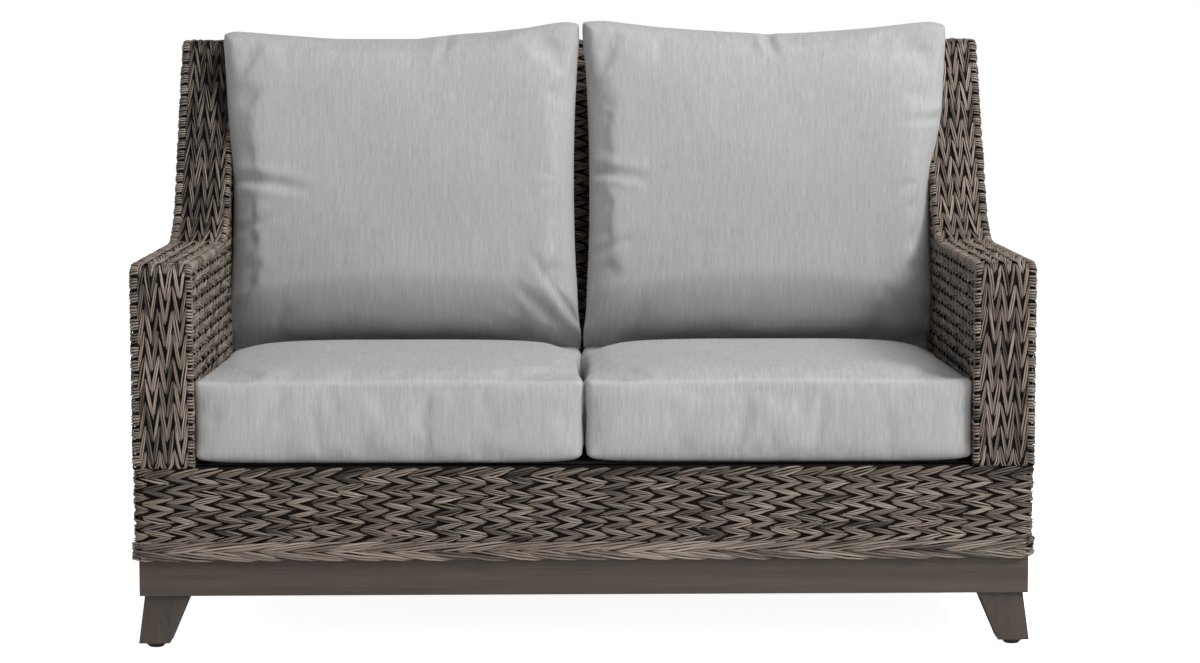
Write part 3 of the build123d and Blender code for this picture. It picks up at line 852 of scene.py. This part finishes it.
def wrapEdge(name, line, low, high, edgeX, side, reach):
    groupLength = wrap["pitch"] * wrap["group"] + wrap["notch"]
    groups = int((high - low) / groupLength)
    index = np.arange(groups * wrap["group"])
    group, member = index // wrap["group"], index % wrap["group"]
    stretch = (high - low) / (groups * groupLength)
    middle = (group + 0.5) * groupLength
    offset = (member - (wrap["group"] - 1) / 2) * wrap["pitch"]
    count = len(index)
    # From the side face, round the corner, to the band's face: outwards, and along the normal
    down, over = reach
    curve = np.array(
        [
            (-0.0012, -down),
            (0.0019, -down * 0.72),
            (0.0029, -0.0035),
            (0.0016, 0.0014),
            (-0.0032, 0.0027),
            (-over * 0.72, 0.0017),
            (-over, -0.0012),
        ]
    )
    slope = np.gradient(curve, axis=0)
    slope /= np.linalg.norm(slope, axis=1, keepdims=True)
    outwards = np.stack([slope[:, 1], -slope[:, 0]], 1)
    t = np.linspace(-1, 1, len(curve))
    bunch = 1 - wrap["bunch"] * np.abs(t) ** 2
    fan = wrap["fan"] * t
    run = low + stretch * (middle[:, None] + offset[:, None] * bunch[None, :]) + fan[None, :]
    run = run + random.normal(0, 0.00025, count)[:, None]
    y, z, normalY, normalZ = line.at(run)
    angle = np.arange(wrap["sides"]) / wrap["sides"] * 2 * math.pi
    out = curve[None, :, None, 0] + wrap["radius"] * outwards[None, :, None, 0] * np.cos(angle)
    up = curve[None, :, None, 1] + wrap["radius"] * outwards[None, :, None, 1] * np.cos(angle)
    swell = random.normal(0, 0.0003, count) - wrap["swell"] * (offset / wrap["pitch"] / 2) ** 2
    swell = swell[:, None, None] + 0.0006
    out, up = out + swell * outwards[None, :, None, 0], up + swell * outwards[None, :, None, 1]
    beside = wrap["radius"] * np.sin(angle)[None, None, :]
    points = stack(
        edgeX + side * out,
        y[..., None] + normalY[..., None] * up + normalZ[..., None] * beside,
        z[..., None] + normalZ[..., None] * up - normalY[..., None] * beside,
    )
    tones = wrap["tone"] + random.normal(0, 0.15, groups)[group][:, None, None]
    tones = tones + random.normal(0, 0.17, count)[:, None, None] + 0 * out
    # Painted shade, darkest on the underside of each strand and towards both ends where it tucks round the
    # edge
    paintedShade = 0.5 * np.abs(t[:, None]) ** 3 + (0.5 - 0.5 * np.cos(angle)[None, :]) ** 0.65
    paintedShade = np.broadcast_to(np.clip(paintedShade, 0, 1)[None], out.shape)
    patch = random.uniform(0, 30, count)[:, None, None]
    length = (t * 0.012)[None, :, None]
    mapPlaces = np.stack([patch + length + 0 * out, patch + beside + 0 * out], -1)
    faces = strandFaces(count, len(curve), wrap["sides"], side > 0)
    strandPiece(name, points, faces, tones, paintedShade, mapPlaces)


for side, label in ((-1, "left"), (1, "right")):
    start, noseEnd, last = wrap["start"], wrap["noseEnd"], profile.length - wrap["rearGap"]
    outer, inner = side * form["side"], side * form["inner"]
    wrapEdge(f"wrap_outer_{label}", profile, start, last, outer, side, wrap["outerReach"])
    wrapEdge(f"wrap_front_{label}", profile, start, noseEnd, inner, -side, wrap["noseReach"])
    wrapEdge(f"wrap_inner_{label}", profile, noseEnd, bandEnd, inner, -side, wrap["innerReach"])
print("stage: edges wrapped")


# Base band, legs and glides with softened edges, each in place of its CAD node
softEdges = {"apron": 0.0012, "leg": 0.002, "glide": 0.0008, "segments": 3}


def soften(node, material, width):
    mesh = nodes[node].data.copy()
    work = bmesh.new()
    work.from_mesh(mesh)
    bmesh.ops.remove_doubles(work, verts=work.verts, dist=inside["merge"])
    flat = math.radians(1)
    bmesh.ops.dissolve_limit(work, angle_limit=flat, verts=work.verts, edges=work.edges)
    bmesh.ops.recalc_face_normals(work, faces=work.faces)
    work.to_mesh(mesh)
    work.free()
    mesh.materials.clear()
    piece = addPiece(f"{node}_finish", mesh, material, "frame")
    bevel = piece.modifiers.new("edges", "BEVEL")
    bevel.width = width
    bevel.segments = softEdges["segments"]
    bevel.limit_method = "ANGLE"
    bevel.angle_limit = math.radians(25)
    bevel.harden_normals = True
    mesh.shade_smooth()
    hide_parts(node)


aprons = {"front": apronFinish, "back": apronFinish, "left": sideFinish, "right": sideFinish}
for end, finish in aprons.items():
    soften(f"apron_{end}", finish, softEdges["apron"])
for corner in ("front_left", "front_right", "back_left", "back_right"):
    soften(f"leg_{corner}", legFinish, softEdges["leg"])
    soften(f"glide_{corner}", slotFinish["glide_plastic"], softEdges["glide"])
print("stage: base finished")


# Points and quads of a closed box lattice, its places from -1 to 1 on each axis
def boxLattice(counts):
    index = np.indices([n + 1 for n in counts])
    shell = np.any([(index[k] == 0) | (index[k] == counts[k]) for k in range(3)], axis=0)
    number = np.full(shell.shape, -1)
    number[shell] = np.arange(shell.sum())
    places = np.argwhere(shell) / np.array(counts) * 2 - 1
    quads = []
    for axis in range(3):
        for end in (0, counts[axis]):
            sheet = np.take(number, end, axis=axis)
            faces = np.stack([sheet[:-1, :-1], sheet[1:, :-1], sheet[1:, 1:], sheet[:-1, 1:]], -1)
            faces = faces.reshape(-1, 4)
            outward = (end > 0) == (axis != 1)
            quads.append(faces if outward else faces[:, ::-1])
    return places, np.concatenate(quads)


# Boxed seat cushions. Their middles lie a way along the platform from its front.
seatCushion = {
    "x": 0.3155,
    "front": -0.438,
    "platform": 0.2985,
    "middle": 0.328,
    "width": 0.6315,
    "length": 0.655,
    "thickness": 0.136,
    "round": 0.020,
    "seamRound": 0.010,
    "crown": 0.018,
    "heel": 0.007,
    "draw": 0.004,
    "cell": 0.009,
    "pressure": 1.2,
    "bending": 2.5,
    "grow": -0.006,
    "shrink": 0.015,
    "most": 0.005,
    "frames": 12,
    "seamAt": 1,
    # A painted highlight along the top and bottom seam edges, where the top edge catches the light
    "seamHighlightAndTone": 0.3,
    "zipShare": 0.22,
}
# Pillows on the back. Their middles stand up along it and out from it, and their length runs up.
pillow = {
    "x": {"left": -0.3180, "right": 0.3215},
    "up": 0.268,
    "out": 0.0893,
    "width": 0.636,
    "length": 0.594,
    "thickness": 0.176,
    "edge": 0.082,
    "foot": 0.022,
    "tuck": 0.046,
    "tuckFrom": 0.58,
    "under": 0.024,
    "underFrom": 0.862,
    "underRun": 0.075,
    "corner": 0.005,
    "draw": 0.011,
    "curl": 0.038,
    "cell": 0.009,
    "pressure": 2.0,
    "bending": 3.0,
    "grow": -0.006,
    "shrink": 0.022,
    "most": 0.012,
    "frames": 14,
    "seamAt": 0,
    "seamHighlightAndTone": -0.5,
    "zipShare": 0.8,
}
deckPitch = math.radians(1)


# Local to world: the cushion's own x, y and z as world directions from an origin
def placed(points, origin, yAxis, zAxis):
    turn = np.array([np.cross(yAxis, zAxis), yAxis, zAxis])
    return points @ turn + np.array(origin)


# A seat cushion before it swells: a box with rounded edges, its top crowned by the fourth powers
# of the places across and along, and its lower side edges lifted off the platform
def seatStart():
    size = seatCushion
    half = np.array([size["width"] / 2, size["length"] / 2, size["thickness"] / 2])
    counts = [int(round(2 * h / size["cell"])) for h in half]
    places, quads = boxLattice(counts)
    box = places * half
    a, b, c = places[:, 0], places[:, 1], places[:, 2]
    near = np.interp(np.abs(c), [0.4, 0.95], [size["round"], size["seamRound"]])[:, None]
    core = np.clip(box, near - half, half - near)
    away = box - core
    away /= np.linalg.norm(away, axis=1, keepdims=True)
    points = core + away * near
    bow = (1 - np.abs(a) ** 4) * (1 - np.abs(b) ** 4)
    points[:, 2] += size["crown"] * bow * (c + 1) / 2
    points[:, 2] += size["heel"] * np.abs(a) ** 10 * np.clip(-c, 0, 1) ** 4
    points[:, 0] -= a * size["draw"] * (1 - b * b)
    points[:, 1] -= b * size["draw"] * (1 - a * a)
    return points, quads, places


# A pillow before it swells: a lens over its width and length on a boxed edge, thin at the foot
def pillowStart():
    size = pillow
    half = np.array([size["width"] / 2, size["length"] / 2])
    counts = [int(round(2 * half[0] / size["cell"])), int(round(2 * half[1] / size["cell"])), 8]
    places, quads = boxLattice(counts)
    a, b, c = places[:, 0], places[:, 1], places[:, 2]
    # Fullest low down, and its foot curls under
    bow = (1 - np.abs(a) ** 2.6) ** 0.62 * np.where(b < 0, 1 - b ** 6, (1 - np.abs(b) ** 2.6) ** 0.62)
    belly = np.sqrt(1 - 0.75 * c * c) - 1
    edge = size["foot"] + (size["edge"] - size["foot"]) * np.clip((b + 1) / 0.5, 0, 1)
    points = np.zeros((len(places), 3))
    points[:, 0] = (half[0] + belly * edge / 2) * a - a * size["draw"] * (1 - b * b)
    points[:, 1] = (half[1] + belly * edge / 2) * b
    points[:, 2] = c * ((size["thickness"] - edge) / 2 * bow + edge / 2)
    # The sides curl forward, clear of the wings
    points[:, 2] += size["curl"] * np.abs(a) ** 4 * (1 - 0.4 * np.abs(b))
    points[:, :2] -= places[:, :2] * size["corner"] * (np.abs(a * b) ** 12)[:, None]
    return points, quads, places


# A mesh of quads alone, with the cloth's map
def clothMesh(name, points, quads, values, mapPlaces):
    return meshFrom(name, points, quads, np.zeros((0, 3), int), values, "cloth", mapPlaces)


# Closed cloth forms blown up by a pressure for some frames, without weight, their seams shrunk
clothSettings = {
    "quality": 6,
    "mass": 0.25,
    "tension_stiffness": 25,
    "compression_stiffness": 12,
    "shear_stiffness": 6,
    "use_pressure": True,
    "vertex_group_shrink": "seam",
}


def inflate(forms):
    held = []
    for name, (points, quads, seam, size) in forms.items():
        mesh = clothMesh(name, points, quads, {}, points[:, :2])
        piece = linked(name, mesh)
        group = piece.vertex_groups.new(name="seam")
        group.add(np.flatnonzero(seam > 0.5).tolist(), 1.0, "REPLACE")
        settings = piece.modifiers.new("inflate", "CLOTH").settings
        for key, value in clothSettings.items():
            setattr(settings, key, value)
        settings.bending_stiffness = size["bending"]
        settings.uniform_pressure_force = size["pressure"]
        settings.shrink_min = size["grow"]
        settings.shrink_max = size["shrink"]
        settings.effector_weights.gravity = 0
        piece.modifiers["inflate"].collision_settings.use_collision = False
        held.append(piece)
    scene = bpy.context.scene
    results = {}
    last = max(size["frames"] for points, quads, seam, size in forms.values())
    for step in range(1, last + 1):
        scene.frame_set(step)
        graph = bpy.context.evaluated_depsgraph_get()
        for piece, (points, quads, seam, size) in zip(held, forms.values()):
            if step == size["frames"]:
                results[piece.name] = readPoints(piece.evaluated_get(graph).data)
    scene.frame_set(1)
    for piece in held:
        mesh = piece.data
        bpy.data.objects.remove(piece)
        bpy.data.meshes.remove(mesh)
    return results


# The swelled form, each point held within a reach of its first place
def limited(start, swelled, most):
    move = swelled - start
    far = np.linalg.norm(move, axis=1, keepdims=True) + 1e-9
    return start + move / far * most * np.tanh(far / most)


# Shallow folds pressed into a face: each from a place to a place, as shares of the face, with
# a depth and a width
def folded(points, places, folds):
    a, b, c = places[:, 0], places[:, 1], places[:, 2]
    for (startA, startB), (endA, endB), depth, width in folds:
        run = np.array([endA - startA, endB - startB])
        reach = np.clip(((a - startA) * run[0] + (b - startB) * run[1]) / (run @ run), 0, 1)
        far = np.hypot(a - startA - reach * run[0], b - startB - reach * run[1])
        bow = (1 - reach) ** 0.7
        valley = np.exp(-((far / width) ** 2)) - 0.55 * np.exp(-(((far - 1.6 * width) / width) ** 2))
        points[:, 2] -= depth * bow * valley * np.clip(c + 0.2, 0, 1)
    return points


# The pillow's foot, tucked back above the seat, and turned under it in uneven scallops
def tucked(points, places, size):
    across, low = places[:, 0], -places[:, 1]
    start = size["tuckFrom"] + 0.12 * across ** 2
    points[:, 2] -= size["tuck"] * np.clip((low - start) / (1 - start), 0, 1) ** 1.35
    scallop = np.sin(across * 11 + 0.6) * np.sin(across * 4.3 + 1.9)
    start = size["underFrom"] + 0.012 * scallop + 0.025 * across ** 4
    turn = np.clip((low - start) / size["underRun"], 0, 1)
    points[:, 2] -= size["under"] * turn * turn * (3 - 2 * turn)
    return points


# The pillow's uneven top: its rise at places across it, and its spill sideways over the wing
def raised(points, places, across, rise, spill):
    share = np.clip((places[:, 1] - 0.1) / 0.9, 0, 1) ** 1.6
    points[:, 1] += np.interp(places[:, 0], across, rise) * share
    outward = np.clip(places[:, 0] * np.sign(spill), 0, 1) ** 2
    share = np.clip((places[:, 1] + 0.1) / 0.6, 0, 1)
    points[:, 0] += spill * outward * share * share * (3 - 2 * share)
    return points


# Centre a form and stretch it to its finished sizes
def fitted(points, sizes):
    low, high = points.min(axis=0), points.max(axis=0)
    return (points - (low + high) / 2) / (high - low) * np.array(sizes)


# A finished cushion. A seam value above 0 is a painted highlight along the seam and one below 0 a darker
# seam line. The cloth's grain runs up the front and the sides.
def cushionPiece(name, points, quads, places, body, replaced, size):
    rim = np.abs(places[:, :2]).max(axis=1) > 0.999
    seam = -size["seamHighlightAndTone"] * (rim & (np.abs(np.abs(places[:, 2]) - size["seamAt"]) < 0.01))
    flat = places * np.array([size["width"], size["length"], size["thickness"]]) / 2
    flat = flat[quads.ravel()]
    onSide = np.repeat(np.all(np.abs(places[quads, 0]) > 0.999, axis=1), 4)[:, None]
    face = np.stack([flat[:, 0], flat[:, 1] + flat[:, 2]], 1)
    flank = flat[:, [1, 2]] if size["seamAt"] else flat[:, [2, 1]]
    mapPlaces = np.where(onSide, flank, face)
    mesh = clothMesh(name, points, quads, {"seam": seam}, mapPlaces)
    piece = addPiece(name, mesh, cloth, body)
    smooth = piece.modifiers.new("smooth", "SUBSURF")
    smooth.levels = 1
    smooth.render_levels = 1
    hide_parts(*replaced)


# A zip on a cushion's rear or foot: a thin closed slab over the face's own points
tape = {"spanShare": 0.7, "above": 0.0016, "below": -0.002}


def zipPiece(name, world, places, end, outward, size, body):
    near = (places[:, 1] * end > 0.999) & (np.abs(places[:, 0]) < tape["spanShare"])
    near = np.flatnonzero(near & (np.abs(places[:, 2]) < size["zipShare"]))
    near = near[np.lexsort((places[near, 2], places[near, 0]))]
    rows = len(np.unique(np.round(places[near, 2], 4)))
    grid = world[near].reshape(-1, rows, 3)
    counts = (len(grid) - 1, rows - 1, 1)
    lattice, quads = boxLattice(counts)
    index = np.rint((lattice + 1) / 2 * counts).astype(int)
    lift = np.where(index[:, 2:] > 0, tape["above"], tape["below"])
    points = grid[index[:, 0], index[:, 1]] + lift * np.array(outward) * end
    quads = quads[:, ::-1] if end > 0 else quads
    mesh = clothMesh(f"{name}_tape", points, quads, {}, index[:, :2] * size["cell"])
    piece = addPiece(f"{name}_tape", mesh, slotFinish["zip_tape"], body)
    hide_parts(name)


# A quiet uneven push on a form, so that no two cushions swell alike
def uneven(points, depth, scale):
    waves = random.uniform(-1, 1, (6, 3)) / scale * 2 * math.pi
    phase = random.uniform(0, 2 * math.pi, 6)
    swell = np.sin(points @ waves.T + phase).mean(axis=1)
    push = np.zeros_like(points)
    push[:, 2] = np.sign(points[:, 2]) * swell * depth
    return points + push


forms = {}
starts = {}
for label in ("left", "right"):
    points, quads, places = seatStart()
    edge = (np.abs(places) > 0.999).sum(axis=1) >= 2
    starts[f"seat_{label}"] = (quads, places)
    forms[f"seat_{label}"] = (uneven(points, 0.002, 0.4), quads, edge, seatCushion)
    points, quads, places = pillowStart()
    edge = np.abs(places[:, :2]).max(axis=1) > 0.999
    starts[f"pillow_{label}"] = (quads, places)
    forms[f"pillow_{label}"] = (uneven(points, 0.004, 0.3), quads, edge, pillow)
swelled = inflate(forms)
print("stage: cushions swelled")

# The pillows' tops: places across, the rise at each, and the spill sideways
tops = {
    "left": (
        [-1, -0.94, -0.6, -0.38, 0.07, 0.26, 0.5, 0.72, 0.92, 1],
        [-0.017, -0.014, -0.020, -0.024, -0.024, -0.017, -0.012, -0.005, 0.002, 0.0],
        -0.009,
    ),
    "right": (
        [-1, -0.85, -0.54, -0.08, 0.04, 0.27, 0.54, 0.92, 1],
        [0.003, 0.004, -0.005, -0.014, -0.017, -0.014, -0.008, 0.001, -0.003],
        0.024,
    ),
}

# The folds seen in the photograph: at the left edge, fanned from a lower corner, and a pleat on top
folds = {
    "left": [
        ((-1.0, 0.02), (-0.55, -0.06), 0.010, 0.035),
        ((-1.0, -0.30), (-0.72, -0.20), 0.006, 0.03),
        ((1.0, -0.98), (0.62, -0.62), 0.009, 0.035),
        ((1.0, -0.86), (0.74, -0.42), 0.007, 0.03),
        ((0.9, -1.0), (0.42, -0.80), 0.007, 0.03),
        ((0.25, 1.0), (0.22, 0.80), 0.006, 0.03),
    ],
    "right": [
        ((0.06, 1.0), (0.09, 0.84), 0.014, 0.03),
        ((-1.0, 0.06), (-0.66, 0.0), 0.009, 0.035),
        ((-1.0, -0.45), (-0.74, -0.36), 0.006, 0.03),
        ((1.0, -0.97), (0.68, -0.66), 0.008, 0.035),
        ((-0.95, -1.0), (-0.64, -0.72), 0.008, 0.035),
        ((1.0, 0.40), (0.80, 0.36), 0.006, 0.03),
    ],
}
for side, label in ((-1, "left"), (1, "right")):
    quads, places = starts[f"seat_{label}"]
    size = seatCushion
    first = forms[f"seat_{label}"][0]
    points = limited(first, swelled[f"seat_{label}"], size["most"])
    # The platform holds the foot of the cushion
    free = np.clip((places[:, 2:] + 1.1) / 1.2, 0, 1)
    points = first + (points - first) * np.concatenate([free * 0 + 1, free * 0 + 1, free], 1)
    low = -size["thickness"] / 2
    points[:, 2] = np.maximum(points[:, 2], low) - low
    yAxis = (0, math.cos(deckPitch), -math.sin(deckPitch))
    zAxis = (0, math.sin(deckPitch), math.cos(deckPitch))
    origin = np.array([side * size["x"], size["front"], size["platform"]])
    origin = origin + size["middle"] * np.array(yAxis)
    world = placed(points, origin, yAxis, zAxis)
    replaced = (f"seat_cover_{label}", f"seat_core_{label}")
    body = f"seat_cushion_{label}"
    cushionPiece(body, world, quads, places, body, replaced, size)
    zipPiece(f"seat_zip_{label}", world, places, 1, yAxis, size, body)
    quads, places = starts[f"pillow_{label}"]
    size = pillow
    points = limited(forms[f"pillow_{label}"][0], swelled[f"pillow_{label}"], size["most"])
    points = fitted(points, (size["width"], size["length"], size["thickness"]))
    points = tucked(points, places, size)
    points = raised(points, places, *tops[label])
    points = folded(points, places, folds[label])
    lean = form["recline"]
    yAxis = (0, math.sin(lean), math.cos(lean))
    zAxis = (0, -math.cos(lean), math.sin(lean))
    origin = np.array([size["x"][label], form["backSeat"], form["backSeatHeight"]])
    origin = origin + size["up"] * np.array(yAxis) + size["out"] * np.array(zAxis)
    world = placed(points, origin, yAxis, zAxis)
    replaced = (f"back_cover_{label}", f"back_core_{label}")
    body = f"back_cushion_{label}"
    cushionPiece(body, world, quads, places, body, replaced, size)
    zipPiece(f"back_zip_{label}", world, places, -1, yAxis, size, body)
print("stage: cushions made")

# Camera at the photograph's place: its picture is 1200 by 663, with a long lens
camera = {
    "place": (-0.0411, -5.266, 0.991),
    "focalPixels": 3025,
    "picturePixels": 1200,
    "sensor": 36,
    "tilt": math.radians(5.66),
    "yaw": math.radians(0.79),
    "roll": math.radians(0.102),
}
ahead = Vector((math.sin(camera["yaw"]), math.cos(camera["yaw"]), 0))
right = Vector((math.cos(camera["yaw"]), -math.sin(camera["yaw"]), 0))
up = Vector((0, 0, 1))
look = ahead * math.cos(camera["tilt"]) - up * math.sin(camera["tilt"])
rise = up * math.cos(camera["tilt"]) + ahead * math.sin(camera["tilt"])
across = right * math.cos(camera["roll"]) - rise * math.sin(camera["roll"])
rise = right * math.sin(camera["roll"]) + rise * math.cos(camera["roll"])
lens = bpy.data.cameras.new("camera")
lens.sensor_width = camera["sensor"]
lens.lens = camera["focalPixels"] / camera["picturePixels"] * camera["sensor"]
lens.clip_end = 60
eye = linked("camera", lens)
turn = Matrix((across, rise, -look)).transposed().to_4x4()
eye.matrix_world = Matrix.Translation(camera["place"]) @ turn
bpy.context.scene.camera = eye

# Soft studio light from large panels, and an even pale surround
panels = {
    "key": {"place": (7.2, -6.6, 8.0), "size": 3.4, "power": 760},
    "fill": {"place": (0.8, -5.8, 2.2), "size": 2.4, "power": 40},
    "top": {"place": (1.8, -1.0, 4.3), "size": 2.6, "power": 95},
    "rear": {"place": (-4.6, 3.6, 1.5), "size": 2.0, "power": 60},
}
lightAim = (0, 0, 0.5)
for name, panel in panels.items():
    light = bpy.data.lights.new(name, "AREA")
    light.size = panel["size"]
    light.energy = panel["power"]
    lamp = linked(name, light)
    lamp.location = panel["place"]
    aim = Vector(lightAim) - lamp.location
    lamp.rotation_euler = aim.to_track_quat("-Z", "Y").to_euler()

studio = Graph("studio", bpy.data.worlds)
lit = studio.wire("ShaderNodeBackground", {}, {0: rgb(0.97, 0.985, 1.0), 1: 0.2})
seen = studio.wire("ShaderNodeBackground", {}, {0: rgb(1, 1, 1), 1: 1.0})
cameraRay = studio.wire("ShaderNodeLightPath", {}, {}, "Is Camera Ray")
surround = studio.wire("ShaderNodeMixShader", {}, {0: cameraRay, 1: lit, 2: seen})
studio.add("ShaderNodeOutputWorld", {}, {0: surround})
bpy.context.scene.world = studio.owner

# Pale floor that keeps a soft shadow
graph = Graph("studio_floor")
mottle = graph.noise(graph.objectPlace(), (2, 2, 2), 2.0)
seen = graph.wire("ShaderNodeLightPath", {}, {}, "Is Camera Ray")
shader = graph.wire(
    "ShaderNodeBsdfPrincipled",
    {},
    {
        "Base Color": graph.blend(mottle, rgb(0.93, 0.93, 0.93), rgb(0.96, 0.96, 0.96)),
        "Roughness": 1.0,
        "Specular IOR Level": 0.0,
        "Emission Color": graph.blend(seen, rgb(0.1, 0.1, 0.1), rgb(0.93, 0.93, 0.93)),
        "Emission Strength": 1.0,
    },
)
graph.add("ShaderNodeOutputMaterial", {}, {0: shader})
floorMesh = bpy.data.meshes.new("floor")
reach = 14
corners = [(-reach, -reach, 0), (reach, -reach, 0), (reach, reach, 0), (-reach, reach, 0)]
floorMesh.from_pydata(corners, [], [(0, 1, 2, 3)])
floorMesh.materials.append(graph.owner)
floor = linked("floor", floorMesh)

bpy.context.scene.view_settings.view_transform = "Standard"
print("stage: camera and light set")
